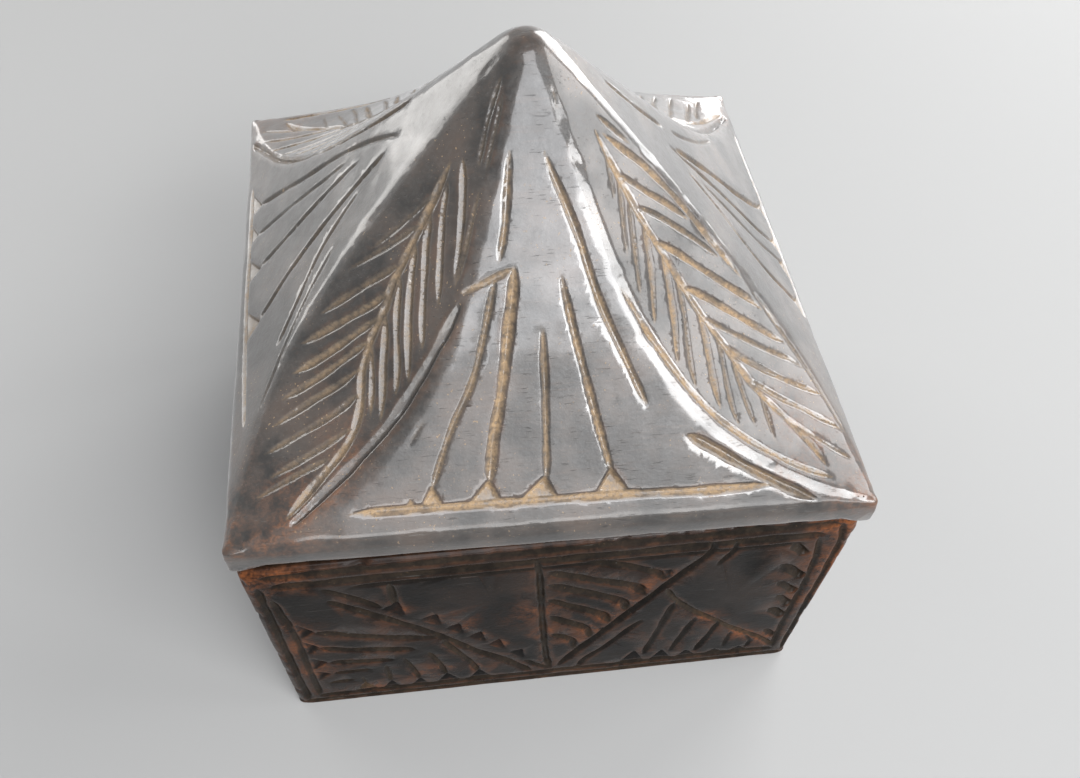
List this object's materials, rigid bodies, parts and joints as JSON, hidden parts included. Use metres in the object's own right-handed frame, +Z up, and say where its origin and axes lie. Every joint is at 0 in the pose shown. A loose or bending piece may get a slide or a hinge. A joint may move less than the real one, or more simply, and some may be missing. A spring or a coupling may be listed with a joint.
{
  "type": "trinket box",
  "caption": "Small square carved wooden box with a lift-off tent-shaped lid, fan and leaf carving cut through a dark waxed stain.",
  "frame": {"origin": "centre of the box's underside, on the surface the box stands on", "axes": "+Z up through the tip of the lid; +X and +Y square to the walls, with the front wall facing -Y"},
  "size_m": [0.09, 0.09, 0.1015],
  "materials": {
    "box_wood": "black-brown stain, waxed, knife cuts filled with tan dust, edges worn to red-brown wood",
    "lid_wood": "black-brown stain, waxed to a soft shine, knife cuts filled with tan dust, edges worn to red-brown wood"
  },
  "bodies": {
    "box": {"box_body": "box_wood"},
    "lid": {"lid": "lid_wood"}
  },
  "joints": [
    {"name": "lid_lift", "type": "slide", "parent": "box", "child": "lid", "axis": [0, 0, 1], "range_m": [0, 0.06]}
  ]
}
